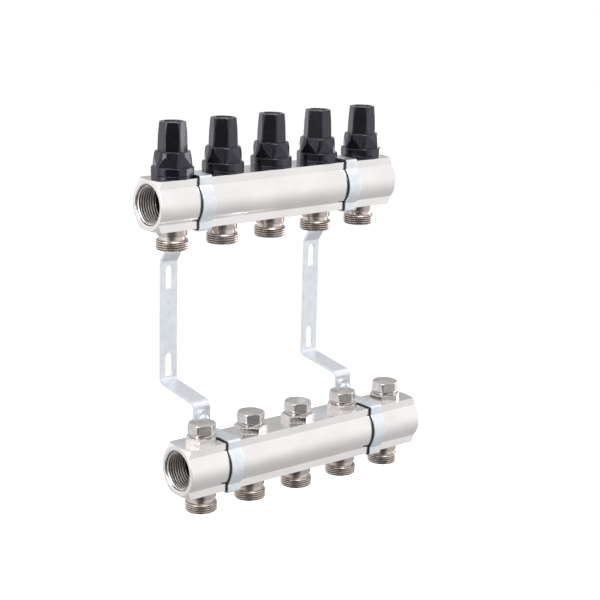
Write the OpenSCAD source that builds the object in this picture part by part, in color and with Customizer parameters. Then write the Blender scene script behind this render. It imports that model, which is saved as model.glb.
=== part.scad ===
// Two-bar heating manifold on a pair of wall brackets, in millimetres.
// X runs along the bars, the wall is the plane y = 0 and the front faces -Y.
// The origin lies on the wall, midway between the two slots of the left bracket.

/* [Bars] */
// Diameter of the round body of a bar
bar_d = 41.5; // [39:0.5:44]
// Height of a bar over its two flats
bar_h = 41; // [40:0.5:44]
// Width of the flats
rib_w = 30.5; // [28:0.5:32]
// Diameter of the end face, where the turned chamfer starts
end_face_d = 41; // [38:0.5:41.5]
// Length of the turned chamfer at each end
end_chamfer = 3; // [1:0.5:4]
// Diameter of the waterway through a bar
waterway_d = 30; // [27:0.5:30]
// Major diameter of the female end thread, G1
end_thread_d = 33.25; // [26.44, 30.2, 33.25]
// Depth of the end thread
end_thread_depth = 15; // [12:0.5:15.5]
// Length over which the end thread fades into the waterway
end_runout = 4.5; // [2:0.5:6]
// Width of the countersink at the mouth of the end thread
mouth_chamfer = 0.8; // [0.3:0.1:1.2]

/* [Ports] */
// Distance between neighbouring ports
port_pitch = 50; // [48:1:55]
// Distance from each end face to the nearest port
first_port = 24; // [22:0.5:28]
// Diameter of the threaded hole for a valve, in the top of a bar
valve_hole_d = 18; // [17:0.5:19]
// Diameter of the threaded hole for an outlet, in the bottom of a bar
outlet_hole_d = 21; // [19:0.5:22]

/* [Outlets] */
// Length of an outlet below the bar
outlet_len = 17.5; // [16:0.5:24]
// Major diameter of the outlet thread, G3/4
outlet_thread_d = 26.44; // [20.96, 26.44]
// Diameter of the collar where it meets the bar
collar_d = 28; // [27:0.5:30]
// Height of the collar, with its chamfer
collar_h = 5.4; // [4:0.2:7]
// Chamfer at the foot of the collar
collar_chamfer = 1.6; // [0.8:0.2:2.4]
// Diameter of the neck between collar and thread
neck_d = 22.2; // [20:0.2:22.6]
// Length of the neck
neck_len = 1.6; // [1:0.2:3]
// Chamfer at both ends of the outlet thread
thread_chamfer = 1; // [0.5:0.1:1.5]
// Diameter of the bore through an outlet
outlet_bore_d = 14; // [12:0.5:14.5]
// Diameter at the mouth of the sealing cone inside the thread
cone_mouth_d = 20; // [17:0.5:21]
// Depth of the sealing cone
cone_depth = 8; // [5:0.5:10]
// Outer diameter of the valve seat that stands inside the bar
seat_d = 17; // [16:0.5:18]
// Distance from the bar's axis down to the seat
seat_drop = 4; // [3:0.5:6]

/* [Wall brackets] */
// Distance from the first port to the left bracket
clamp_from_port = 20.5; // [20.5:0.25:24]
// Distance between the axes of the two bars
bar_pitch = 210; // [180:1:240]
// Distance from the wall to the axis of the upper bar
upper_reach = 35.5; // [33.5:0.5:45]
// How much further from the wall the lower bar stands
reach_step = 43; // [36:1:50]
// Height of the upper bar's axis over the middle of the wall slots
upper_rise = 109; // [100:1:118]
// Width of the bracket's strip
strip_w = 16.5; // [15:0.5:20]
// Thickness of the bracket's strip
strip_t = 2.5; // [2:0.25:3]
// Length of the flat plate on the wall, between its bends
plate_h = 105; // [102:1:112]
// Inside radius of the bends
bend_r = 2.75; // [2:0.25:4]
// Rise of the short upper arm
upper_arm_rise = 8; // [7:0.5:12]
// Fall of the long lower arm
lower_arm_fall = 7; // [4:0.5:12]
// Distance between the two wall slots
slot_pitch = 76; // [70:1:78]
// Length of a wall slot
slot_len = 21; // [16:1:22]
// Width of a wall slot
slot_w = 7; // [5:0.5:8]

/* [Clamps] */
// Width of a clamp strap
strap_w = 12; // [10:0.5:12]
// Thickness of a clamp strap
strap_t = 1; // [0.8:0.1:1.2]
// Thickness of the rubber liner under a strap
liner_t = 1.2; // [1:0.1:1.3]
// Slit between the two ears of a strap
ear_slit = 0.3; // [0.2:0.1:0.6]
// Distance from the bar's axis back to the bracket's tab
tab_setback = 27.5; // [27:0.25:29]
// Distance from a bar's axis to its clamp screw
screw_rise = 28; // [28:0.5:30]
// Height of the ear beyond the screw
ear_over = 8; // [7:0.5:9]
// Diameter of the clamp screw's shank
screw_d = 5; // [4:0.5:6]
// Diameter of the screw's pan head
screw_head_d = 9.5; // [8:0.5:10]
// Height of the pan head
screw_head_h = 3.2; // [2.5:0.1:4]
// Width of the clamp nut across its flats
nut_af = 8; // [7:0.5:9]
// Height of the clamp nut
nut_h = 3.5; // [3:0.25:4]

/* [Hand caps] */
// Height of the collar's top over the bar's flat
cap_collar_top = 8.8; // [8.5:0.1:11]
// Height of the ledge over the bar's flat
cap_ledge = 21.2; // [19:0.1:24]
// Height of the cap's top over the bar's flat
cap_top = 44.7; // [42:0.1:52]
// Diameter of the collar
cap_collar_d = 34.6; // [34.2:0.2:37]
// Distance across the collar's flats
cap_collar_af = 33; // [32.6:0.1:34]
// Diameter of the skirt at its foot
skirt_d1 = 32.8; // [32:0.2:33.4]
// Diameter of the skirt at its top
skirt_d2 = 28.8; // [28:0.2:31]
// Distance across the skirt's flats at its foot
skirt_af1 = 29; // [28.4:0.1:30]
// Distance across the skirt's flats at its top
skirt_af2 = 27.2; // [26.6:0.1:28]
// Turn of the skirt's facets between its foot and its top
skirt_twist = 15; // [0:1:25]
// Diameter of the grip at its foot
grip_d1 = 23.9; // [23:0.1:25]
// Diameter of the grip at its top
grip_d2 = 21.4; // [20:0.1:22.5]
// Distance across the grip's flats at its foot
grip_af1 = 21.8; // [21:0.1:22.8]
// Distance across the grip's flats at its top
grip_af2 = 19.6; // [18.6:0.1:20]
// Diameter of the shallow dish in the top
dish_d = 14.4; // [12:0.2:17]
// Depth of the dish
dish_depth = 0.7; // [0.4:0.1:2]
// Thread of the hand cap, M30 x 1.5
cap_thread_d = 30; // [28, 30]
// Rise of the hand cap from shut to open
cap_travel = 3; // [2:0.5:4]

/* [Valve inserts] */
// Width of the insert's hexagon across its flats
insert_af = 20.5; // [19:0.5:24]
// Height of the ring that carries the hand cap's thread
insert_ring_h = 4.7; // [4:0.1:5]
// Diameter of the insert's spring housing
housing_d = 18; // [17:0.5:19]
// Height of the spring housing over the bar's flat
housing_top = 13.5; // [12.5:0.5:14.5]
// Diameter of the spring chamber
chamber_d = 12.8; // [12:0.2:14]
// Diameter of the valve pin
pin_d = 4; // [3:0.5:5]
// Diameter of the disc that shuts the seat
disc_d = 16; // [15:0.5:17]
// Thickness of the disc
disc_t = 3.5; // [2.5:0.5:5]
// Wire of the valve spring
spring_wire = 0.8; // [0.6:0.1:0.9]
// Turns of the valve spring
spring_turns = 4; // [3:1:5]

/* [Lockshield valves] */
// Width of the body's hexagon across its flats
lock_af = 24; // [22:0.5:24]
// Height of the body's hexagon, with its chamfer
lock_hex_h = 5.5; // [4.5:0.1:7]
// Diameter of the shoulder under the blind cap
shoulder_d = 19.2; // [18.4:0.2:20]
// Height of the shoulder over the bar's flat
shoulder_top = 7; // [6.4:0.1:8]
// Width of the blind cap across its flats
blind_af = 21; // [20:0.5:22]
// Diameter that the blind cap's corners are turned to
blind_d = 23.4; // [23:0.1:25]
// Height of the blind cap's top over the bar's flat
blind_top = 17; // [16:0.5:20]
// Thread under the blind cap
blind_thread_d = 17; // [16:0.5:17.4]
// Height of the body's threaded neck over the bar's flat
neck_top = 11.5; // [11:0.1:12]
// Thickness of the gasket in the blind cap
gasket_t = 0.7; // [0.5:0.1:1]
// Diameter of the regulating spindle's thread
spindle_d = 9.8; // [9:0.2:10]
// Diameter of the stem between the spindle's thread and its plug
stem_d = 4; // [3.6:0.2:4]
// Rise of the regulating spindle from shut to open
spindle_travel = 4; // [2:0.5:4]

/* [Clearances] */
// Gap between a fitting and its hole
fit_gap = 0.05; // [0.02:0.01:0.1]
// Gap between pieces that move past each other with no contact
free_gap = 0.3; // [0.2:0.05:0.5]

/* [Hidden] */
ports = [1, 2, 3, 4, 5];
bars = [["return", 0], ["supply", 1]];
sides = [["left", 0], ["right", 1]];

// Turn of the facets at rest, one value a port, as the valves stand after assembly
cap_turn = [54, 44, 42, 38, 40];
insert_turn = [10, 40, 25, 50, 0];
lock_turn = [48, 22, 23, 40, 38];
blind_turn = [39, 35, 36, 36, 38];

fine = 96;
half_h = bar_h / 2;
bar_len = 2 * first_port + (len(ports) - 1) * port_pitch;
bar_bore_d = min(waterway_d, end_thread_d - 3.1);
runout_step = 1;
rib_corner_r = norm([rib_w / 2, half_h]);
bar_x0 = -first_port - clamp_from_port;
outlet_core_d = outlet_thread_d - 2 * thread_chamfer;
tab_y_gap = tab_setback - strip_t;
ear_y = tab_setback - 2 * strap_t - ear_slit;
strap_in = liner_t;
strap_out = liner_t + strap_t;
head_sphere_r = (pow(screw_head_d / 2, 2) + pow(screw_head_h, 2)) / (2 * screw_head_h);
stub_setback = 0.2;
stub_len = half_h - end_thread_d / 2 - stub_setback;
cap_foot_gap = strap_out + free_gap;
ring_top = cap_foot_gap + insert_ring_h;
gland_depth = 2.4;
gland_head_h = 1;
pin_seal_wire = 1.2;
pin_head_top = housing_top + gland_head_h + 0.5;
pin_collar_t = 1.2;
pin_collar_z = housing_top - gland_depth - fit_gap - cap_travel - pin_collar_t;
chamber_floor = 1.5;
seat_z = -seat_drop;
spindle_top = neck_top - 3.5;
spindle_socket_af = 5;
spindle_floor = 1.4;
ring_z = 3.2;
ring_wire = 1.1;
blind_floor = neck_top + gasket_t + 2 * fit_gap;
seal_wire = 1.6;

function port_x(p) = bar_x0 + first_port + (p - 1) * port_pitch;
function bar_y(b) = -upper_reach - b * reach_step;
function bar_z(b) = upper_rise - b * bar_pitch;
function bracket_x(s) = s * port_x(len(ports) - 0.5);

// Places its children on a port's axis, at the height of the bar's axis
module at_port(b, p) {
    translate([port_x(p), bar_y(b), bar_z(b)]) children();
}

// Places its children on a port's axis, at the height of the bar's upper flat
module on_flat(b, p) {
    translate([port_x(p), bar_y(b), bar_z(b) + half_h]) children();
}

// Places its children at a clamp. The upper clamp hangs its ears below the bar.
module at_clamp(b, s) {
    translate([bracket_x(s), bar_y(b), bar_z(b)]) mirror([0, 0, 1 - b]) children();
}

// Turns a flat drawing in Y and Z into a solid along X, centred on x = 0
module along_x(width) {
    translate([-width / 2, 0, 0]) rotate([90, 0, 90]) linear_extrude(width) children();
}

// A revolved solid whose outline is a list of radius and height
module turned(outline) {
    rotate_extrude($fn = fine) polygon(outline);
}

module hexagon(af, h) {
    cylinder(d = af / cos(30), h = h, $fn = 6);
}

// Six planes that lean inwards, so that a round solid between them gets flats
module six_flats(af1, af2, z1, z2) {
    lean = atan2((af1 - af2) / 2, z2 - z1);
    reach = 40;
    for (a = [0:60:300]) rotate(a)
        translate([af1 / 2, 0, z1]) rotate([0, -lean, 0])
            translate([0, -reach / 2, -reach]) cube([reach, reach, 2 * reach]);
}

// The section of a bar, grown by a distance
module bar_section(grow) {
    intersection() {
        union() {
            circle(d = bar_d + 2 * grow, $fn = fine);
            square([rib_w + 2 * grow, bar_h], center = true);
            square([rib_w, bar_h + 2 * grow], center = true);
            if (grow > 0) for (y = [-1, 1], z = [-1, 1])
                translate([y * rib_w / 2, z * bar_h / 2]) circle(r = grow, $fn = 48);
        }
        square([2 * bar_d, bar_h + 2 * grow], center = true);
    }
}

module bar(b) {
    color("gainsboro")
    difference() {
        intersection() {
            translate([bar_x0 + bar_len / 2, bar_y(b), bar_z(b)]) along_x(bar_len) bar_section(0);
            translate([bar_x0, bar_y(b), bar_z(b)]) rotate([0, 90, 0]) turned([
                [0, 0],
                [end_face_d / 2, 0],
                [rib_corner_r + 0.2, end_chamfer],
                [rib_corner_r + 0.2, bar_len - end_chamfer],
                [end_face_d / 2, bar_len],
                [0, bar_len]
            ]);
        }
        translate([bar_x0, bar_y(b), bar_z(b)]) rotate([0, 90, 0]) turned([
            [0, -1],
            [end_thread_d / 2 + mouth_chamfer + 1, -1],
            [end_thread_d / 2, mouth_chamfer],
            [end_thread_d / 2, end_thread_depth],
            [end_thread_d / 2 - runout_step, end_thread_depth + runout_step / 2],
            [bar_bore_d / 2, end_thread_depth + end_runout],
            [bar_bore_d / 2, bar_len - end_thread_depth - end_runout],
            [end_thread_d / 2 - runout_step, bar_len - end_thread_depth - runout_step / 2],
            [end_thread_d / 2, bar_len - end_thread_depth],
            [end_thread_d / 2, bar_len - mouth_chamfer],
            [end_thread_d / 2 + mouth_chamfer + 1, bar_len + 1],
            [0, bar_len + 1]
        ]);
        for (p = ports) at_port(b, p) {
            cylinder(d = valve_hole_d, h = bar_h, $fn = fine);
            translate([0, 0, -bar_h]) cylinder(d = outlet_hole_d, h = bar_h, $fn = fine);
        }
    }
}

// One outlet, screwed in from below, with the valve seat on its inner end
module outlet() {
    foot = -half_h - outlet_len;
    neck_z = -half_h - collar_h;
    thread_z = neck_z - neck_len;
    difference() {
        turned([
            [outlet_bore_d / 2, foot],
            [outlet_core_d / 2, foot],
            [outlet_thread_d / 2, foot + thread_chamfer],
            [outlet_thread_d / 2, thread_z - thread_chamfer],
            [neck_d / 2, thread_z],
            [neck_d / 2, neck_z],
            [collar_d / 2 - 0.5, neck_z + collar_chamfer],
            [collar_d / 2, -half_h],
            [outlet_hole_d / 2 - fit_gap, -half_h],
            [outlet_hole_d / 2 - fit_gap, -half_h + stub_len],
            [seat_d / 2, -half_h + stub_len],
            [seat_d / 2, seat_z - 1.2],
            [seat_d / 2 - 1.2, seat_z],
            [outlet_bore_d / 2, seat_z]
        ]);
        translate([0, 0, foot - 0.01])
            cylinder(d1 = cone_mouth_d, d2 = outlet_bore_d - 0.1, h = cone_depth, $fn = fine);
        translate([0, 0, -half_h + stub_len / 2]) seal_groove(outlet_hole_d);
    }
}

// The groove for a round seal in a fitting of the given hole
module seal_groove(hole_d) {
    floor_d = hole_d - 2 * seal_wire - 4 * fit_gap;
    translate([0, 0, -seal_wire / 2 - fit_gap]) difference() {
        cylinder(d = hole_d + 2, h = seal_wire + 2 * fit_gap, $fn = fine);
        translate([0, 0, -1]) cylinder(d = floor_d, h = seal_wire + 3, $fn = fine);
    }
}

// A round seal that lies against the wall of a hole
module seal_ring(hole_d, wire) {
    rotate_extrude($fn = fine) translate([hole_d / 2 - wire / 2 - fit_gap, 0]) circle(d = wire, $fn = 24);
}

module outlets(b) {
    color("rosybrown") for (p = ports) at_port(b, p) outlet();
}

module port_seals() {
    color("dimgray") for (b = [0, 1], p = ports) at_port(b, p) {
        translate([0, 0, -half_h + stub_len / 2]) seal_ring(outlet_hole_d, seal_wire);
        translate([0, 0, half_h - stub_len / 2]) seal_ring(valve_hole_d, seal_wire);
    }
    color("dimgray") for (p = ports) on_flat(0, p) translate([0, 0, housing_top - gland_depth / 2])
        rotate_extrude($fn = fine) translate([pin_d / 2 + fit_gap + pin_seal_wire / 2, 0])
            circle(d = pin_seal_wire, $fn = 24);
}

// A strip bent along a line of points, each a Y and a Z, with one radius for all bends
module bent_strip(points, thick, inner_r) {
    mid_r = inner_r + thick / 2;
    last = len(points) - 1;
    function heading(i) = atan2(points[i + 1][1] - points[i][1], points[i + 1][0] - points[i][0]);
    function turn(i) = (i < 1 || i > last - 1) ? 0 : heading(i) - heading(i - 1);
    function cut(i) = mid_r * tan(abs(turn(i)) / 2);
    for (i = [0 : last - 1]) {
        span = norm(points[i + 1] - points[i]);
        translate(points[i]) rotate(heading(i)) translate([cut(i), -thick / 2])
            square([span - cut(i) - cut(i + 1), thick]);
    }
    for (i = [1 : last - 1]) {
        side = sign(turn(i));
        translate(points[i]) rotate(heading(i - 1)) translate([-cut(i), side * mid_r])
            intersection() {
                difference() {
                    circle(r = inner_r + thick, $fn = fine);
                    circle(r = inner_r, $fn = fine);
                }
                wedge(side > 0 ? -90 : 90, turn(i), 3 * mid_r);
            }
    }
}

// A flat triangle that covers the given turn from a starting direction
module wedge(start, turn, reach) {
    polygon([
        [0, 0],
        reach * [cos(start), sin(start)],
        reach * [cos(start + turn), sin(start + turn)]
    ]);
}

module slot(width, length) {
    end = (length - width) / 2;
    rotate([-90, 0, 0]) for (z = [-end, end]) translate([0, -z, 0])
        cylinder(d = width, h = 4 * strip_t, center = true, $fn = fine);
    cube([width, 4 * strip_t, 2 * end], center = true);
}

module bracket(s) {
    upper_screw = bar_z(0) - screw_rise;
    lower_screw = bar_z(1) + screw_rise;
    tab_end = strip_w / 2;
    upper_tab = bar_y(0) + tab_setback + strip_t / 2;
    lower_tab = bar_y(1) + tab_setback + strip_t / 2;
    plate = -strip_t / 2;
    deep = 2 * (upper_reach + reach_step);
    color("lightsteelblue") translate([bracket_x(s), 0, 0]) difference() {
        intersection() {
            along_x(strip_w) bent_strip([
                [upper_tab, upper_screw + tab_end],
                [upper_tab, plate_h / 2 + upper_arm_rise],
                [plate, plate_h / 2],
                [plate, -plate_h / 2],
                [lower_tab, -plate_h / 2 - lower_arm_fall],
                [lower_tab, lower_screw - tab_end]
            ], strip_t, bend_r);
            union() {
                length = upper_screw - lower_screw;
                translate([-strip_w, -deep, lower_screw]) cube([2 * strip_w, 2 * deep, length]);
                for (z = [upper_screw, lower_screw]) translate([0, 0, z]) rotate([90, 0, 0])
                    cylinder(d = strip_w, h = 2 * deep, center = true, $fn = fine);
            }
        }
        for (z = [upper_screw, lower_screw]) translate([0, 0, z]) rotate([90, 0, 0])
            cylinder(d = screw_d + 2 * free_gap, h = 2 * deep, center = true, $fn = fine);
        for (z = [-slot_pitch / 2, slot_pitch / 2]) translate([0, plate, z]) slot(slot_w, slot_len);
    }
}

// A strap round the bar, open at its two ears. The ears point towards +Z here.
module strap(b, s) {
    run_z = half_h + strap_out;
    side_y = rib_w / 2 + strap_in;
    back_y = tab_setback;
    ear_top = screw_rise + ear_over;
    color("aliceblue") at_clamp(b, s) difference() {
        intersection() {
            along_x(strap_w) {
                difference() {
                    bar_section(strap_out);
                    bar_section(strap_in);
                    // the slit where the back of the strap leaves the top
                    translate([side_y - 0.01, run_z - strap_t - ear_slit]) square([strap_t + 1, ear_slit]);
                }
                translate([side_y, run_z - strap_t]) square([ear_y + strap_t - side_y, strap_t]);
                translate([side_y, run_z - 2 * strap_t - ear_slit])
                    square([back_y - side_y, strap_t]);
                translate([ear_y, run_z - strap_t]) square([strap_t, ear_top - run_z + strap_t]);
                translate([back_y - strap_t, run_z - 2 * strap_t - ear_slit])
                    square([strap_t, ear_top - run_z + 2 * strap_t + ear_slit]);
            }
            union() {
                translate([-strap_w, -bar_d, -bar_d])
                    cube([2 * strap_w, 2 * bar_d, bar_d + ear_top - strap_w / 2]);
                translate([0, 0, ear_top - strap_w / 2]) rotate([90, 0, 0])
                    cylinder(d = strap_w, h = 2 * bar_d, center = true, $fn = fine);
            }
        }
        translate([0, ear_y, screw_rise]) rotate([90, 0, 0])
            cylinder(d = screw_d + free_gap, h = tab_setback, center = true, $fn = fine);
    }
}

module clamp_liners() {
    color("dimgray") for (b = [0, 1], s = [0, 1]) at_clamp(b, s) along_x(strap_w) difference() {
        bar_section(liner_t - fit_gap);
        bar_section(fit_gap);
    }
}

// A pan head screw with a cross recess, its head towards the front
module clamp_screws() {
    shank = 2 * strap_t + ear_slit + strip_t + nut_h + 0.5;
    color("silver") for (b = [0, 1], s = [0, 1]) at_clamp(b, s)
        translate([0, ear_y, screw_rise]) rotate([90, 0, 0]) difference() {
            union() {
                intersection() {
                    translate([0, 0, screw_head_h - head_sphere_r]) sphere(r = head_sphere_r, $fn = fine);
                    cylinder(d = screw_head_d, h = screw_head_h, $fn = fine);
                }
                translate([0, 0, -shank]) cylinder(d = screw_d, h = shank + 0.1, $fn = fine);
            }
            for (a = [45, 135]) rotate(a)
                translate([-screw_d / 2, -0.5, screw_head_h - 1.6]) cube([screw_d, 1, 2]);
        }
}

module clamp_nuts() {
    color("silver") for (b = [0, 1], s = [0, 1]) at_clamp(b, s)
        translate([0, tab_setback + strip_t, screw_rise]) rotate([-90, 0, 0]) difference() {
            intersection() {
                hexagon(nut_af, nut_h);
                turned([
                    [0, 0],
                    [nut_af / 2, 0],
                    [nut_af / cos(30) / 2, 0.5],
                    [nut_af / cos(30) / 2, nut_h - 0.5],
                    [nut_af / 2, nut_h],
                    [0, nut_h]
                ]);
            }
            translate([0, 0, -1]) cylinder(d = screw_d + 2 * fit_gap, h = nut_h + 2, $fn = fine);
        }
}

// The insert that screws into the top of the return bar and guides the pin
module valve_insert(p) {
    color("darkkhaki") on_flat(0, p) difference() {
        union() {
            translate([0, 0, -stub_len])
                cylinder(d = valve_hole_d - 2 * fit_gap, h = stub_len, $fn = fine);
            rotate(insert_turn[p - 1]) hexagon(insert_af, cap_foot_gap);
            turned([
                [0, cap_foot_gap],
                [cap_thread_d / 2 - 0.6, cap_foot_gap],
                [cap_thread_d / 2 - fit_gap, cap_foot_gap + 0.6],
                [cap_thread_d / 2 - fit_gap, ring_top - 0.6],
                [cap_thread_d / 2 - 0.6, ring_top],
                [housing_d / 2, ring_top],
                [housing_d / 2, housing_top - 0.5],
                [housing_d / 2 - 0.5, housing_top],
                [0, housing_top]
            ]);
        }
        translate([0, 0, chamber_floor]) cylinder(d = chamber_d, h = housing_top, $fn = fine);
        translate([0, 0, -bar_h]) cylinder(d = pin_d + 2 * fit_gap, h = 2 * bar_h, $fn = fine);
        translate([0, 0, -stub_len / 2]) seal_groove(valve_hole_d);
    }
}

// The gland that closes the spring housing and keeps the pin's seal
module insert_glands() {
    color("darkkhaki") for (p = ports) on_flat(0, p) rotate(insert_turn[p - 1] + 20) difference() {
        union() {
            translate([0, 0, housing_top - gland_depth])
                cylinder(d = chamber_d - 2 * fit_gap, h = gland_depth, $fn = fine);
            translate([0, 0, housing_top]) hexagon(chamber_d, gland_head_h);
        }
        cylinder(d = pin_d + 2 * fit_gap, h = 2 * housing_top, $fn = fine);
        translate([0, 0, housing_top - gland_depth / 2 - pin_seal_wire / 2 - fit_gap])
            cylinder(d = pin_d + 2 * pin_seal_wire + 4 * fit_gap, h = pin_seal_wire + 2 * fit_gap, $fn = fine);
    }
}

// The pin that the hand cap pushes down, with the disc that shuts the seat
module valve_pin(p) {
    color("goldenrod") on_flat(0, p) turned([
        [0, seat_z - half_h + fit_gap],
        [disc_d / 2 - 0.4, seat_z - half_h + fit_gap],
        [disc_d / 2, seat_z - half_h + 0.4 + fit_gap],
        [disc_d / 2, seat_z - half_h + disc_t - 0.8],
        [disc_d / 2 - 0.8, seat_z - half_h + disc_t],
        [pin_d / 2, seat_z - half_h + disc_t],
        [pin_d / 2, pin_collar_z],
        [chamber_d / 2 - free_gap, pin_collar_z],
        [chamber_d / 2 - free_gap, pin_collar_z + pin_collar_t],
        [pin_d / 2, pin_collar_z + pin_collar_t],
        [pin_d / 2, pin_head_top - 0.5],
        [pin_d / 2 - 0.5, pin_head_top],
        [0, pin_head_top]
    ]);
}

// A wire coil, as one closed mesh swept along its helix
module coil(mean_r, wire, z1, z2, turns) {
    sides = 6;
    steps = 14 * turns;
    points = [for (i = [0:steps], k = [0:sides - 1])
        let (
            a = 360 * turns * i / steps,
            t = 360 * k / sides,
            r = mean_r + wire / 2 * cos(t),
            z = z1 + (z2 - z1) * i / steps + wire / 2 * sin(t)
        )
        [r * cos(a), r * sin(a), z]];
    walls = [for (i = [0:steps - 1], k = [0:sides - 1])
        let (a = i * sides + k, b = i * sides + (k + 1) % sides)
        [a, a + sides, b + sides, b]];
    start = [for (k = [0:sides - 1]) k];
    end = [for (k = [sides - 1:-1:0]) steps * sides + k];
    polyhedron(points, concat(walls, [start], [end]), convexity = 10);
}

module valve_spring(p) {
    play = 0.05 + spring_wire / 2;
    color("silver") on_flat(0, p)
        coil((chamber_d + pin_d) / 4 + 0.2, spring_wire, chamber_floor + play, pin_collar_z - play, spring_turns);
}

// The moulded hand cap: collar, skirt and grip, each with six flats. The skirt's flats twist
// from foot to top, so they split into triangles, each plane touching one edge and one corner.
module hand_cap(p) {
    foot = cap_foot_gap;
    thread_top = ring_top + free_gap;
    hollow_d = housing_d + 5;
    hollow_top = cap_ledge - 2;
    core_d = 15;
    lead = cos(30 - skirt_twist) / cos(30);
    core_top = cap_top - 3.5;
    color("black") on_flat(0, p) rotate(cap_turn[p - 1]) difference() {
        union() {
            difference() {
                turned([
                    [0, foot],
                    [cap_collar_d / 2 - 0.5, foot],
                    [cap_collar_d / 2, foot + 0.5],
                    [cap_collar_d / 2, cap_collar_top - 0.4],
                    [cap_collar_d / 2 - 0.4, cap_collar_top],
                    [0, cap_collar_top]
                ]);
                six_flats(cap_collar_af, cap_collar_af, foot, cap_collar_top);
            }
            difference() {
                turned([
                    [0, cap_collar_top - 0.5],
                    [skirt_d1 / 2, cap_collar_top - 0.5],
                    [skirt_d1 / 2, cap_collar_top],
                    [skirt_d2 / 2 + 0.1, cap_ledge - 0.6],
                    [skirt_d2 / 2 - 0.5, cap_ledge],
                    [0, cap_ledge]
                ]);
                rotate(-skirt_twist) six_flats(skirt_af1, skirt_af2 * lead, cap_collar_top, cap_ledge);
                six_flats(skirt_af1 * lead, skirt_af2, cap_collar_top, cap_ledge);
            }
            difference() {
                turned([
                    [0, cap_ledge - 0.5],
                    [grip_d1 / 2, cap_ledge - 0.5],
                    [grip_d1 / 2, cap_ledge + 4],
                    [(grip_d1 + grip_d2) / 4 + 0.25, (cap_ledge + cap_top) / 2 + 2],
                    [grip_d2 / 2, cap_top - 0.4],
                    [grip_d2 / 2 - 0.4, cap_top],
                    [0, cap_top]
                ]);
                six_flats(grip_af1, grip_af2, cap_ledge, cap_top);
            }
        }
        translate([0, 0, cap_top - dish_depth]) cylinder(d = dish_d, h = cap_top, $fn = fine);
        translate([0, 0, foot - 1])
            cylinder(d = cap_thread_d + 2 * fit_gap, h = thread_top - foot + 1, $fn = fine);
        difference() {
            turned([
                [0, foot],
                [hollow_d / 2, foot],
                [hollow_d / 2, hollow_top],
                [core_d / 2, hollow_top],
                [core_d / 2, core_top],
                [0, core_top]
            ]);
            translate([0, 0, pin_head_top + 2 * fit_gap]) cylinder(d = pin_d + 5, h = cap_top, $fn = fine);
        }
    }
}

// The lockshield's body, screwed into the top of the supply bar
module lockshield_body(p) {
    corner_r = lock_af / cos(30) / 2;
    color("gainsboro") on_flat(1, p) difference() {
        union() {
            rotate(lock_turn[p - 1]) intersection() {
                hexagon(lock_af, lock_hex_h);
                turned([
                    [0, 0],
                    [corner_r, 0],
                    [corner_r, lock_hex_h - 0.8],
                    [lock_af / 2 - 1, lock_hex_h],
                    [0, lock_hex_h]
                ]);
            }
            turned([
                [0, -stub_len],
                [valve_hole_d / 2 - fit_gap, -stub_len],
                [valve_hole_d / 2 - fit_gap, 0.1],
                [shoulder_d / 2 - 0.8, 0.1],
                [shoulder_d / 2 - 0.8, lock_hex_h + 0.4],
                [shoulder_d / 2, lock_hex_h + 0.6],
                [shoulder_d / 2, shoulder_top - 0.2],
                [shoulder_d / 2 - 0.2, shoulder_top],
                [blind_thread_d / 2 - fit_gap, shoulder_top],
                [blind_thread_d / 2 - fit_gap, neck_top - 0.4],
                [blind_thread_d / 2 - 0.4, neck_top],
                [0, neck_top]
            ]);
        }
        translate([0, 0, -bar_h]) cylinder(d = stem_d + 2 * fit_gap, h = 2 * bar_h, $fn = fine);
        translate([0, 0, spindle_floor]) cylinder(d = spindle_d + 2 * fit_gap, h = bar_h, $fn = fine);
        translate([0, 0, -stub_len / 2]) seal_groove(valve_hole_d);
    }
}

// The spindle that a key turns under the blind cap, with a stem down to the plug on the seat
module regulating_spindle(p) {
    plug_top = seat_z - half_h + 3.5;
    thread_foot = spindle_floor + free_gap;
    groove_r = spindle_d / 2 - ring_wire - 2 * fit_gap;
    groove_lo = ring_z - ring_wire / 2 - fit_gap;
    groove_hi = ring_z + ring_wire / 2 + fit_gap;
    color("goldenrod") on_flat(1, p) difference() {
        turned([
            [0, seat_z - half_h + fit_gap],
            [outlet_bore_d / 2 + 0.2, seat_z - half_h + fit_gap],
            [disc_d / 2 - 0.4, seat_z - half_h + 1.6 + fit_gap],
            [disc_d / 2 - 0.4, plug_top - 0.6],
            [disc_d / 2 - 1, plug_top],
            [stem_d / 2, plug_top],
            [stem_d / 2, thread_foot],
            [spindle_d / 2 - 0.6, thread_foot],
            [spindle_d / 2, thread_foot + 0.6],
            [spindle_d / 2, groove_lo],
            [groove_r, groove_lo],
            [groove_r, groove_hi],
            [spindle_d / 2, groove_hi],
            [spindle_d / 2, spindle_top - 0.5],
            [spindle_d / 2 - 0.5, spindle_top],
            [0, spindle_top]
        ]);
        translate([0, 0, spindle_top - 4]) hexagon(spindle_socket_af, 5);
    }
}

module spindle_ring(p) {
    color("dimgray") on_flat(1, p) translate([0, 0, ring_z]) seal_ring(spindle_d + 2 * fit_gap, ring_wire);
}

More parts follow.
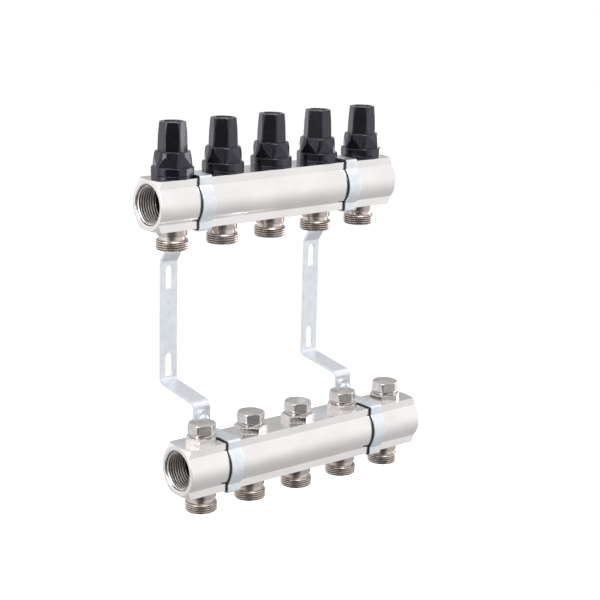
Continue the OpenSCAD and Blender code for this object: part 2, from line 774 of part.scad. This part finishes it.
// The hexagonal blind cap that covers the spindle, with its slightly domed top
module blind_cap(p) {
    foot = shoulder_top + 0.2;
    rim_z = blind_top - 1.6;
    dome_r = 73;
    color("gainsboro") on_flat(1, p) rotate(blind_turn[p - 1]) difference() {
        intersection() {
            translate([0, 0, foot]) hexagon(blind_af, blind_top - foot);
            turned([
                [0, foot],
                [shoulder_d / 2 - 0.4, foot],
                [blind_d / 2, foot + 1.6],
                [blind_d / 2, rim_z],
                [blind_d / 2 - 0.35, rim_z + 0.5],
                [blind_d / 2 - 1.3, rim_z + 1],
                [blind_d / 2 - 3, rim_z + 1.35],
                [blind_d / 2 - 3, blind_top],
                [0, blind_top]
            ]);
            translate([0, 0, blind_top - dome_r]) sphere(r = dome_r, $fn = fine);
        }
        translate([0, 0, foot - 1])
            cylinder(d = blind_thread_d + 2 * fit_gap, h = blind_floor - foot + 1, $fn = fine);
        cylinder(d = spindle_d + 3, h = blind_top - 2.6, $fn = fine);
    }
}

module cap_gasket(p) {
    color("dimgray") on_flat(1, p) translate([0, 0, neck_top + fit_gap]) difference() {
        cylinder(d = blind_thread_d - 0.2, h = gasket_t, $fn = fine);
        translate([0, 0, -1]) cylinder(d = spindle_d + 1.4, h = gasket_t + 2, $fn = fine);
    }
}

bar(0);  // return_bar
bar(1);  // supply_bar
bracket(0);  // left_bracket
bracket(1);  // right_bracket
strap(0, 0);  // left_return_strap
strap(1, 0);  // left_supply_strap
strap(0, 1);  // right_return_strap
strap(1, 1);  // right_supply_strap
clamp_liners();
clamp_screws();
clamp_nuts();
outlets(0);  // return_outlets
outlets(1);  // supply_outlets
port_seals();
insert_glands();
for (p = ports) {
    valve_insert(p);
    valve_pin(p);
    valve_spring(p);
    hand_cap(p);
    lockshield_body(p);
    regulating_spindle(p);
    spindle_ring(p);
    blind_cap(p);
    cap_gasket(p);
}
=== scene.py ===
import math
import bpy
import bmesh
from mathutils import Matrix, Vector


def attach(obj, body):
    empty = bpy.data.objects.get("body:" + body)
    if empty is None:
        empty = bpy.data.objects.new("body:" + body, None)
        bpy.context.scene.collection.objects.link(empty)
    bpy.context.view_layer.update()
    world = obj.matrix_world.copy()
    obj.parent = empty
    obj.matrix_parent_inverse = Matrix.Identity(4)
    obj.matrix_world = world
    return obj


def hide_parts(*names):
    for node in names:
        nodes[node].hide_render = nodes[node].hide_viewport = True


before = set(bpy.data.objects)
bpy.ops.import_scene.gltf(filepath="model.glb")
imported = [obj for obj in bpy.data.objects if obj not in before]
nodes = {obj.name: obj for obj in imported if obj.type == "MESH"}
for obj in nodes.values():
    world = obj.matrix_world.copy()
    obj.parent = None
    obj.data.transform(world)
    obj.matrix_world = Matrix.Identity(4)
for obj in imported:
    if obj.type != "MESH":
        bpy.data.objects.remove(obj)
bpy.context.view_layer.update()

mm = 0.001

# the bars, in millimetres
returnAxis = (-35.5, 109)  # y and z of the upper bar's axis
supplyAxis = (-78.5, -101)  # and of the lower bar's
barEnds = (-44.5, 203.5)
barHalf = 20.5  # from the axis to the upper and lower flats
firstPort, portPitch, portCount = -20.5, 50, 5
portX = [firstPort + portPitch * n for n in range(portCount)]


def linearColour(code):
    parts = [int(code[i:i + 2], 16) / 255 for i in (1, 3, 5)]
    linear = [p / 12.92 if p <= 0.04045 else ((p + 0.055) / 1.055) ** 2.4 for p in parts]
    return (*linear, 1.0)


def addNode(tree, kind, settings=None, links=None):
    node = tree.nodes.new(kind)
    for name, value in (settings or {}).items():
        if isinstance(name, int) or name in node.inputs:
            node.inputs[name].default_value = value
        else:
            setattr(node, name, value)
    for name, source in (links or {}).items():
        tree.links.new(source, node.inputs[name])
    return node


def newMaterial(name, shaderSettings):
    material = bpy.data.materials.new(name)
    material.use_nodes = True
    tree = material.node_tree
    shader = tree.nodes["Principled BSDF"]
    for key, value in shaderSettings.items():
        shader.inputs[key].default_value = value
    place = addNode(tree, "ShaderNodeTexCoord")
    return material, tree, shader, place.outputs["Object"]


colourLimits = (0.35, 0.65)  # the noise mostly stays between these
valueLimits = (0.3, 0.7)
sharpAngle = 32  # degrees; faces that meet at more than this keep a sharp edge


def fineGrain(tree, place, spacing, detail=2.0):
    # noise whose grain is spacing millimetres along X, Y and Z
    scale = tuple(1 / (s * mm) for s in spacing)
    stretch = addNode(tree, "ShaderNodeMapping", {"Scale": scale}, {"Vector": place})
    noise = addNode(tree, "ShaderNodeTexNoise", {"Scale": 1.0, "Detail": detail},
                    {"Vector": stretch.outputs["Vector"]})
    return noise.outputs["Fac"]


def blendColours(tree, factor, colours):
    ramp = addNode(tree, "ShaderNodeValToRGB", links={"Fac": factor})
    for stop, position, colour in zip(ramp.color_ramp.elements, colourLimits, colours):
        stop.position = position
        stop.color = linearColour(colour)
    return ramp.outputs["Color"]


def mapRange(tree, value, limits, results, **settings):
    low, high = limits
    settings |= {"From Min": low, "From Max": high, "To Min": results[0], "To Max": results[1]}
    return addNode(tree, "ShaderNodeMapRange", settings, {"Value": value}).outputs["Result"]


def roundedBump(tree, shader, height, depth, edge):
    # depth and edge radius in millimetres: edges catch light as small roundings do
    rounding = addNode(tree, "ShaderNodeBevel", {"samples": 6, "Radius": edge * mm})
    bump = addNode(tree, "ShaderNodeBump", {"Strength": 0.5, "Distance": depth * mm},
                   {"Height": height, "Normal": rounding.outputs["Normal"]})
    tree.links.new(bump.outputs["Normal"], shader.inputs["Normal"])


def dressSurface(tree, shader, tint, colours, marks, rough, depth=None, edge=None):
    # one noise picks the colour, the other the roughness and the relief
    tree.links.new(blendColours(tree, tint, colours), shader.inputs["Base Color"])
    satin = mapRange(tree, marks, valueLimits, rough)
    tree.links.new(satin, shader.inputs["Roughness"])
    if depth:
        roundedBump(tree, shader, marks, depth, edge)


extrudedNickel = {
    "plated": ("#f2eeee", "#f9f5f5"), "rough": (0.13, 0.19),
    # the bore's dark colours are painted shade; its extra roughness is the bare brass
    "boredShaded": ("#3a342e", "#4b433a"), "boredRougher": 0.35,
    "boredReach": 15.4,  # millimetres from the axis, just outside the waterway's wall
}


def makeExtrudedNickel(name, axis):
    # nickel plating over extruded brass: bright, nearly neutral, with faint draw lines
    e = extrudedNickel
    material, tree, shader, place = newMaterial(name, {"Metallic": 1.0})
    lines = fineGrain(tree, place, (90, 0.7, 0.7), 3)
    cloud = fineGrain(tree, place, (28, 22, 22))
    plated = blendColours(tree, cloud, e["plated"])
    # the waterway is bare brass, cut by boring and rougher than the plating; its dark colour is
    # painted shade inside the bore
    boredShaded = blendColours(tree, cloud, e["boredShaded"])
    across = addNode(tree, "ShaderNodeMapping",
                     {"Location": (0, -axis[0] * mm, -axis[1] * mm), "Scale": (0, 1, 1)},
                     {"Vector": place})
    reach = addNode(tree, "ShaderNodeVectorMath", {"operation": "LENGTH"},
                    {0: across.outputs["Vector"]})
    inside = addNode(tree, "ShaderNodeMath", {"operation": "LESS_THAN", 1: e["boredReach"] * mm},
                     {0: reach.outputs["Value"]}).outputs[0]
    colour = addNode(tree, "ShaderNodeMixRGB",
                     links={"Fac": inside, "Color1": plated, "Color2": boredShaded})
    tree.links.new(colour.outputs["Color"], shader.inputs["Base Color"])
    satin = mapRange(tree, lines, valueLimits, e["rough"])
    rough = addNode(tree, "ShaderNodeMath", {"operation": "MULTIPLY_ADD", 1: e["boredRougher"]},
                    {0: inside, 2: satin})
    tree.links.new(rough.outputs[0], shader.inputs["Roughness"])
    roundedBump(tree, shader, lines, depth=0.012, edge=0.35)
    return material


def makeTurnedNickel():
    # nickel plating over turned and milled brass: tight tool marks, duller than the bar
    material, tree, shader, place = newMaterial("turnedBrassNickelPlated", {"Metallic": 1.0})
    marks = fineGrain(tree, place, (9, 9, 0.25))
    cloud = fineGrain(tree, place, (7, 7, 7))
    dressSurface(tree, shader, tint=cloud, colours=("#d3cecc", "#e4e0de"),
                 marks=marks, rough=(0.2, 0.3), depth=0.015, edge=0.3)
    return material


def makeThinNickel(name, low, high, rough):
    # turned or thread-cut brass under thin nickel; the darker colours passed in for the thread
    # roots and the outlets' collars are painted shade
    material, tree, shader, place = newMaterial(name, {"Metallic": 1.0})
    marks = fineGrain(tree, place, (4, 4, 4))
    dressSurface(tree, shader, tint=marks, colours=(low, high),
                 marks=marks, rough=(rough, rough + 0.1), depth=0.01, edge=0.12)
    return material


def makeZincSteel(name, low, high, grain):
    # blue-passivated zinc on steel strip and screws: satin, bluish, faintly mottled
    material, tree, shader, place = newMaterial(name, {"Metallic": 1.0})
    rolled = fineGrain(tree, place, grain, 3)
    mottle = fineGrain(tree, place, (5, 5, 6), 4)
    dressSurface(tree, shader, tint=mottle, colours=(low, high),
                 marks=rolled, rough=(0.3, 0.42), depth=0.02, edge=0.25)
    return material


def makeMouldedAbs():
    # glossy black ABS from a polished mould: hard reflections with a trace of orange peel
    gloss = {"Metallic": 0.0, "IOR": 1.53, "Specular IOR Level": 0.68,
             "Specular Tint": linearColour("#eae6ff")}
    material, tree, shader, place = newMaterial("mouldedAbsBlack", gloss)
    peel = fineGrain(tree, place, (1.6, 1.6, 1.6))
    cloud = fineGrain(tree, place, (12, 12, 12))
    dressSurface(tree, shader, tint=cloud, colours=("#0b0b0d", "#121215"),
                 marks=peel, rough=(0.16, 0.24), depth=0.012, edge=0.5)
    return material


def makeEpdm():
    # moulded EPDM rubber: matt black with a dry bloom
    material, tree, shader, place = newMaterial("mouldedEpdm", {"Metallic": 0.0, "IOR": 1.52})
    bloom = fineGrain(tree, place, (1.2, 1.2, 1.2), 3)
    dressSurface(tree, shader, tint=bloom, colours=("#101113", "#1c1d20"),
                 marks=bloom, rough=(0.55, 0.75), depth=0.03, edge=0.2)
    return material


def makeCutBrass():
    # bare turned brass inside the valves: dull yellow-grey, with fine tool marks
    material, tree, shader, place = newMaterial("turnedBrassBare", {"Metallic": 1.0})
    marks = fineGrain(tree, place, (6, 6, 0.2))
    dressSurface(tree, shader, tint=marks, colours=("#857763", "#a0927c"),
                 marks=marks, rough=(0.25, 0.38), depth=0.012, edge=0.2)
    return material


def makeSpringWire():
    # drawn stainless wire: bright, with fine die lines
    material, tree, shader, place = newMaterial("drawnStainlessWire", {"Metallic": 1.0})
    lines = fineGrain(tree, place, (0.4, 0.4, 0.2))
    dressSurface(tree, shader, tint=lines, colours=("#a9a9ab", "#c4c4c6"),
                 marks=lines, rough=(0.2, 0.3))
    return material


returnNickel = makeExtrudedNickel("returnBarBrassNickelPlated", returnAxis)
supplyNickel = makeExtrudedNickel("supplyBarBrassNickelPlated", supplyAxis)
turnedNickel = makeTurnedNickel()
# the outlets' turned nickel is darkened as painted shade under the bar, below the bright crest
# colour
outletCollarShaded = makeThinNickel("outletBrassTurnedShaded", "#b7aca7", "#cbc1bb", 0.26)
maleCrest = makeThinNickel("maleThreadCrest", "#d9cdc6", "#e9dfd9", 0.26)
# the thread roots' colours are darkened as painted shade in the grooves
maleRootShade = makeThinNickel("maleThreadRootShaded", "#7f736c", "#998c84", 0.38)
femaleCrest = makeThinNickel("femaleThreadCrest", "#d9d3d0", "#ebe6e3", 0.32)
femaleRootShade = makeThinNickel("femaleThreadRootShaded", "#2b2625", "#443c39", 0.5)
bracketZinc = makeZincSteel("rolledStripZincPlated", "#e7edf3", "#f2f6fb", (0.8, 0.8, 30))
strapZinc = makeZincSteel("springBandZincPlated", "#e8eef5", "#f5f9fe", (0.8, 12, 12))
fastenerZinc = makeZincSteel("coldHeadedScrewZincPlated", "#b9c1ca", "#d3dae2", (2, 2, 2))
mouldedAbs = makeMouldedAbs()
mouldedEpdm = makeEpdm()
cutBrass = makeCutBrass()
springWire = makeSpringWire()

finishByName = {  # by the start of the node's name
    "return_bar": returnNickel, "supply_bar": supplyNickel,
    "left_bracket": bracketZinc, "right_bracket": bracketZinc,
    "clamp_liners": mouldedEpdm, "clamp_screws": fastenerZinc, "clamp_nuts": fastenerZinc,
    "return_outlets": turnedNickel, "supply_outlets": turnedNickel,
    "port_seals": mouldedEpdm, "insert_glands": cutBrass, "valve_insert_": turnedNickel,
    "valve_pin_": cutBrass, "valve_spring_": springWire, "hand_cap_": mouldedAbs,
    "lockshield_body_": turnedNickel, "regulating_spindle_": cutBrass,
    "spindle_ring_": mouldedEpdm, "blind_cap_": turnedNickel, "cap_gasket_": mouldedEpdm,
}


def finishFor(nodeName):
    if nodeName.endswith("_strap"):
        return strapZinc
    return next(finish for start, finish in finishByName.items() if nodeName.startswith(start))


for nodeName, piece in nodes.items():
    piece.data.materials.clear()
    piece.data.materials.append(finishFor(nodeName))
print("materials are on", len(nodes), "nodes")


def finishPiece(bm, name, materials):
    bmesh.ops.recalc_face_normals(bm, faces=bm.faces)
    mesh = bpy.data.meshes.new(name)
    bm.to_mesh(mesh)
    bm.free()
    for finish in materials:
        mesh.materials.append(finish)
    piece = bpy.data.objects.new(name, mesh)
    bpy.context.scene.collection.objects.link(piece)
    mesh.shade_smooth()
    mesh.set_sharp_from_angle(angle=math.radians(sharpAngle))
    return piece


def drawOutline(bm, outline):
    # a closed loop of radius and height in millimetres
    corners = [bm.verts.new((r * mm, 0, z * mm)) for r, z in outline]
    edges = [bm.edges.new((corners[i], corners[(i + 1) % len(corners)]))
             for i in range(len(corners))]
    return corners + edges


def spinOutline(bm, outline, steps):
    bmesh.ops.spin(bm, geom=drawOutline(bm, outline), cent=(0, 0, 0), axis=(0, 0, 1),
                   angle=2 * math.pi, steps=steps, use_merge=True, use_duplicate=False)


def newVerts(bm, before):
    return [v for v in bm.verts if v not in before]


def cutFlat(bm, verts, point, outward):
    # takes off what lies beyond the plane and closes the cut
    edges = dict.fromkeys(e for v in verts for e in v.link_edges)  # in order, unlike a set
    faces = dict.fromkeys(f for v in verts for f in v.link_faces)
    cut = bmesh.ops.bisect_plane(bm, geom=[*verts, *edges, *faces], dist=1e-7,
                                 plane_co=point, plane_no=outward, clear_outer=True)
    rim = [part for part in cut["geom_cut"] if isinstance(part, bmesh.types.BMEdge)]
    bmesh.ops.holes_fill(bm, edges=rim, sides=0)


ridgeShape = {"base": 0.47, "crest": 0.14, "overrun": 0.6}  # shares of the pitch


def threadRidge(bm, rootRadius, crestRadius, pitch, low, high, steps):
    # one V ridge wound up Z from below low to above high, then cut flat at both
    base, crest, overrun = (pitch * ridgeShape[key] for key in ("base", "crest", "overrun"))
    half, middle = (base + crest) / 2, (rootRadius + crestRadius) / 2
    start = low - overrun
    total = round(steps * ((high - low) / pitch + 2 * ridgeShape["overrun"]))
    outline = [(rootRadius, start - base), (middle, start - half), (crestRadius, start - crest),
               (crestRadius, start + crest), (middle, start + half), (rootRadius, start + base)]
    before = set(bm.verts)
    bmesh.ops.spin(bm, geom=drawOutline(bm, outline), cent=(0, 0, 0), axis=(0, 0, 1),
                   dvec=(0, 0, pitch * mm / steps), angle=2 * math.pi * total / steps,
                   steps=total, use_duplicate=False)
    for height, side in ((low, -1), (high, 1)):
        cutFlat(bm, newVerts(bm, before), (0, 0, height * mm), (0, 0, side))
    return newVerts(bm, before)


outletSpec = {  # radii, and heights over the bar's axis
    "core": 12.1, "crest": 13.2, "pitch": 1.814,  # G3/4 thread
    "foot": -38.0, "threadTop": -29.4,
    "chamfer": 1.0, "chamferSlope": 1.1,
    "bore": 7.0, "coneMouth": 10.0, "coneDepth": 8.0,
    "collar": 12.3, "neck": 10.9, "collarBottom": -26.2,
    "stub": 10.45, "stubTop": -16.825, "seat": 8.5, "seatTop": -4.0,
    "edge": 0.3, "seatEdge": 1.2,
    "ridgeSunk": 0.15, "ridgeFromFoot": 0.25, "ridgeFromTop": 0.35, "rootSlack": 0.2,
    "steps": 72, "threadSteps": 40,
}
shadedTurnedFace, crestFace, rootShadeFace = range(3)


def outletOutline(s):
    foot, top, collar, flat = s["foot"], s["threadTop"], s["collarBottom"], -barHalf
    return [
        (s["coneMouth"], foot), (s["core"] - s["edge"], foot), (s["core"], foot + s["edge"]),
        (s["core"], top - s["edge"]), (s["neck"], top), (s["neck"], collar),
        (s["collar"] - s["edge"], collar), (s["collar"], collar + s["edge"]), (s["collar"], flat),
        (s["stub"], flat), (s["stub"], s["stubTop"]), (s["seat"], s["stubTop"]),
        (s["seat"], s["seatTop"] - s["seatEdge"]), (s["seat"] - s["seatEdge"], s["seatTop"]),
        (s["bore"], s["seatTop"]), (s["bore"], foot + s["coneDepth"]),
    ]


def makeOutlets(name, nodeName, axis):
    s = outletSpec
    bm = bmesh.new()
    spinOutline(bm, outletOutline(s), s["steps"])
    ridge = threadRidge(bm, s["core"] - s["ridgeSunk"], s["crest"], s["pitch"],
                        s["foot"] + s["ridgeFromFoot"], s["threadTop"] - s["ridgeFromTop"],
                        s["threadSteps"])
    for v in ridge:  # the chamfers that a die starts on
        fromEnd = min(v.co.z / mm - s["foot"], s["threadTop"] - v.co.z / mm)
        most = s["crest"] - max(0.0, s["chamfer"] - fromEnd) * s["chamferSlope"]
        radius = v.co.xy.length / mm
        if radius > most:
            v.co.xy *= most / radius
    grooved = set(ridge)
    # the collar and the stub inside the bar keep the turned colour, darkened as painted shade
    for face in bm.faces:  # the collar and the stub inside the bar stay turned
        centre = face.calc_center_median()
        radius = centre.xy.length
        # root faces take the colour darkened as painted shade
        if grooved.issuperset(face.verts):
            onCrest = radius > (s["core"] + s["crest"]) / 2 * mm
            face.material_index = crestFace if onCrest else rootShadeFace
        elif (s["foot"] * mm < centre.z < s["threadTop"] * mm
              and radius > (s["core"] - s["rootSlack"]) * mm):
            face.material_index = rootShadeFace
        # the neck and foot below the collar take the brighter crest colour, against the collar's
        # painted shade
        elif centre.z < s["collarBottom"] * mm:
            face.material_index = crestFace
    whole = list(bm.verts) + list(bm.edges) + list(bm.faces)
    bmesh.ops.translate(bm, verts=list(bm.verts),
                        vec=(portX[0] * mm, axis[0] * mm, axis[1] * mm))
    for x in portX[1:]:
        copy = bmesh.ops.duplicate(bm, geom=whole)["geom"]
        verts = [part for part in copy if isinstance(part, bmesh.types.BMVert)]
        bmesh.ops.translate(bm, verts=verts, vec=((x - portX[0]) * mm, 0, 0))
    piece = finishPiece(bm, name, [outletCollarShaded, maleCrest, maleRootShade])
    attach(piece, "manifold")
    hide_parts(nodeName)


makeOutlets("returnOutletsThreaded", "return_outlets", returnAxis)
makeOutlets("supplyOutletsThreaded", "supply_outlets", supplyAxis)

endThread = {  # G1 thread: radii, and depths from the bar's end to where the bore narrows
    "wall": 16.66, "crest": 15.1, "pitch": 2.309, "depth": 18.8, "mouth": 0.65,
    "leadHeight": 0.2, "steps": 48,
}


def makeEndThreads(name, axis):
    t = endThread
    bm = bmesh.new()
    for end, outward in zip(barEnds, (-1, 1)):
        new = threadRidge(bm, t["wall"], t["crest"], t["pitch"], t["mouth"], t["depth"], t["steps"])
        for v in new:  # the tap's lead: a low ridge at the mouth, a full one within a turn
            least = max(t["crest"], t["wall"] - t["leadHeight"] - (v.co.z / mm - t["mouth"]))
            radius = v.co.xy.length / mm
            if radius < least:
                v.co.xy *= least / radius
        # the root faces between the ridges take the colour darkened as painted shade
        for face in {f for v in new for f in v.link_faces}:
            onCrest = face.calc_center_median().xy.length < (t["wall"] + t["crest"]) / 2 * mm
            face.material_index = 0 if onCrest else 1  # femaleCrest or femaleRootShade
        turn = Matrix.Rotation(math.radians(-90 * outward), 4, "Y")  # so that height runs inward
        place = Matrix.Translation((end * mm, axis[0] * mm, axis[1] * mm))
        bmesh.ops.transform(bm, matrix=place @ turn, verts=new)
    piece = finishPiece(bm, name, [femaleCrest, femaleRootShade])
    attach(piece, "manifold")


makeEndThreads("returnEndThreads", returnAxis)
makeEndThreads("supplyEndThreads", supplyAxis)
print("threads are cut")


# black rings under the hand caps: painted shade and reflection in the gap under each cap
capShadeRing = {  # radii, and heights over the bar's flat
    "inner": 12.4, "outer": 17.2, "bottom": 0.1, "top": 2.4, "lowerEdge": 0.3, "upperEdge": 0.2,
    "flats": 33.0, "turns": (54, 44, 42, 38, 40),  # across the flats, and each hand cap's angle
    "strapEdge": -6.35,  # where the first ring is cut off beside the strap
    "steps": 96,
}


def settleCorners(bm):
    # begins each face at its first corner along one slanted line: every run splits it alike
    line = Vector((1, 0.37, 0.071))
    bmesh.ops.recalc_face_normals(bm, faces=bm.faces)
    for face in list(bm.faces):
        corners = [loop.vert for loop in face.loops]
        first = min(range(len(corners)), key=lambda n: corners[n].co.dot(line))
        bm.faces.remove(face)
        bm.faces.new(corners[first:] + corners[:first])


def makeCapShadeRings():
    # black rings that carry each hand cap's outline down to the bar: painted shade and reflection,
    # dark rings in the gap where there is only the shadow under each cap and the black cap mirrored
    # in the flat
    f = capShadeRing
    outline = [(f["inner"], f["bottom"]), (f["outer"] - f["lowerEdge"], f["bottom"]),
               (f["outer"], f["bottom"] + f["lowerEdge"]), (f["outer"], f["top"] - f["upperEdge"]),
               (f["outer"] - f["upperEdge"], f["top"]), (f["inner"], f["top"])]
    bm = bmesh.new()
    for x, turn in zip(portX, f["turns"]):
        before = set(bm.verts)
        spinOutline(bm, outline, f["steps"])
        bmesh.ops.rotate(bm, verts=newVerts(bm, before),
                         matrix=Matrix.Rotation(math.radians(turn), 3, "Z"))
        cuts = [(f["flats"] / 2, turn + 60 * k) for k in range(6)]
        if x == portX[0]:
            cuts.append((f["strapEdge"] - x, 0))
        for distance, angle in cuts:
            heading = math.radians(angle)
            outward = Vector((math.cos(heading), math.sin(heading), 0))
            cutFlat(bm, newVerts(bm, before), outward * distance * mm, outward)
        bmesh.ops.translate(bm, verts=newVerts(bm, before),
                            vec=(x * mm, returnAxis[0] * mm, (returnAxis[1] + barHalf) * mm))
    settleCorners(bm)
    piece = finishPiece(bm, "capShadeRings", [mouldedAbs])
    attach(piece, "manifold")


makeCapShadeRings()
# the black rings under the hand caps are painted shade and reflection
print("foot rings are under the hand caps")


floorSpec = {"place": (0.08, 0, -0.42), "size": 9.0, "colour": "#f4f4f4", "glow": 0.35}


def makeFloor():
    # matt white paint; the camera sees it a little brighter, so that it joins the white room
    bm = bmesh.new()
    bmesh.ops.create_grid(bm, x_segments=1, y_segments=1, size=floorSpec["size"] / 2)
    bmesh.ops.translate(bm, verts=bm.verts, vec=floorSpec["place"])
    paint = {"Base Color": linearColour(floorSpec["colour"]), "Roughness": 0.9}
    material, tree, shader, _ = newMaterial("paintedStudioFloor", paint)
    path = addNode(tree, "ShaderNodeLightPath")
    glow = addNode(tree, "ShaderNodeMath", {"operation": "MULTIPLY", 1: floorSpec["glow"]},
                   {0: path.outputs["Is Camera Ray"]})
    light = addNode(tree, "ShaderNodeEmission", {"Color": (1, 1, 1, 1)},
                    {"Strength": glow.outputs[0]})
    both = addNode(tree, "ShaderNodeAddShader", links={0: shader.outputs[0], 1: light.outputs[0]})
    tree.links.new(both.outputs[0], tree.nodes["Material Output"].inputs["Surface"])
    floor = finishPiece(bm, "studioFloor", [material])
    floor.visible_glossy = False  # metal mirrors the room, which is shaded below for that


room = {
    "light": 0.75,
    # each shade goes from full light to its level between two limits
    "darkSide": (-0.62, -0.75, -0.20), "darkLimits": (0.66, 0.95), "darkLevel": 0.10,
    "farSide": (0.64, 0.73, 0.24), "farLimits": (0.86, 0.97), "farLevel": 0.5,
    "downLimits": (-1.0, 0.15), "downLevel": 0.48,
}


def softStep(tree, value, limits, levels):
    return mapRange(tree, value, limits, levels, interpolation_type="SMOOTHSTEP")


def shadeToward(tree, place, side, limits, level):
    toward = addNode(tree, "ShaderNodeVectorMath",
                     {"operation": "DOT_PRODUCT", 1: Vector(side).normalized()}, {0: place})
    return softStep(tree, toward.outputs["Value"], limits, (1.0, level))


def combine(tree, operation, first, second):
    return addNode(tree, "ShaderNodeMath", {"operation": operation},
                   {0: first, 1: second}).outputs[0]


def makeWorld():
    world = bpy.data.worlds.new("softStudio")
    bpy.context.scene.world = world
    world.use_nodes = True
    tree = world.node_tree
    tree.nodes.clear()
    place = addNode(tree, "ShaderNodeTexCoord").outputs["Generated"]
    height = addNode(tree, "ShaderNodeSeparateXYZ", links={0: place}).outputs["Z"]
    # white all round, but darker below and on the side that the bars' fronts mirror
    side = shadeToward(tree, place, room["darkSide"], room["darkLimits"], room["darkLevel"])
    down = softStep(tree, height, room["downLimits"], (room["downLevel"], 1.0))
    # a grey panel behind the object, which the upward flats mirror
    far = shadeToward(tree, place, room["farSide"], room["farLimits"], room["farLevel"])
    shade = combine(tree, "MULTIPLY", combine(tree, "MULTIPLY", side, far), down)
    path = addNode(tree, "ShaderNodeLightPath")
    lit = addNode(tree, "ShaderNodeBackground", {"Strength": room["light"]}, {"Color": shade})
    mirror = addNode(tree, "ShaderNodeBackground", {"Strength": 1.0}, {"Color": shade})
    white = addNode(tree, "ShaderNodeBackground", {"Color": (1, 1, 1, 1), "Strength": 1.0})
    soft = addNode(tree, "ShaderNodeMixShader", links={
        0: path.outputs["Is Glossy Ray"], 1: lit.outputs[0], 2: mirror.outputs[0]})
    seen = combine(tree, "MAXIMUM", path.outputs["Is Camera Ray"],
                   path.outputs["Is Transmission Ray"])
    full = addNode(tree, "ShaderNodeMixShader", links={
        0: seen, 1: soft.outputs[0], 2: white.outputs[0]})
    addNode(tree, "ShaderNodeOutputWorld", links={"Surface": full.outputs[0]})


softboxes = {
    "topSoftbox": {"spot": (-0.2, -0.5, 1.3), "aim": (0.08, -0.05, 0), "size": (1.2, 0.8),
                   "power": 14},
    "leftSoftbox": {"spot": (-1.3, -0.2, 0.5), "aim": (0.08, -0.05, 0), "size": (0.7, 1.1),
                    "power": 9},
    "rightSoftbox": {"spot": (1.35, 0.12, 0.05), "aim": (0.08, -0.05, 0.1), "size": (0.7, 0.8),
                     "power": 8},
}


def makeLamp(name, box):
    light = bpy.data.lights.new(name, "AREA")
    light.shape = "RECTANGLE"
    light.size, light.size_y = box["size"]
    light.energy = box["power"]
    lamp = bpy.data.objects.new(name, light)
    bpy.context.scene.collection.objects.link(lamp)
    lamp.location = box["spot"]
    heading = Vector(box["aim"]) - Vector(box["spot"])
    lamp.rotation_euler = heading.to_track_quat("-Z", "Y").to_euler()


# the photograph's viewpoint, fitted to about sixty of its points
photoView = {
    "spot": (-0.72571, -1.04585, 0.34340), "turn": 0.694, "tilt": 0.249, "roll": 0.026,
    "lens": 93.607, "sensor": 36, "nearest": 0.05,
}


def makeCamera():
    data = bpy.data.cameras.new("photoCamera")
    data.sensor_width = photoView["sensor"]
    data.lens = photoView["lens"]
    data.clip_start = photoView["nearest"]
    camera = bpy.data.objects.new("photoCamera", data)
    bpy.context.scene.collection.objects.link(camera)
    turned = (Matrix.Rotation(-photoView["turn"], 4, "Z")
              @ Matrix.Rotation(math.pi / 2 - photoView["tilt"], 4, "X")
              @ Matrix.Rotation(photoView["roll"], 4, "Z"))
    camera.matrix_world = Matrix.Translation(photoView["spot"]) @ turned
    bpy.context.scene.camera = camera


makeFloor()
makeWorld()
for name, box in softboxes.items():
    makeLamp(name, box)
makeCamera()
bpy.context.scene.view_settings.view_transform = "Standard"

print("stage and camera are set")
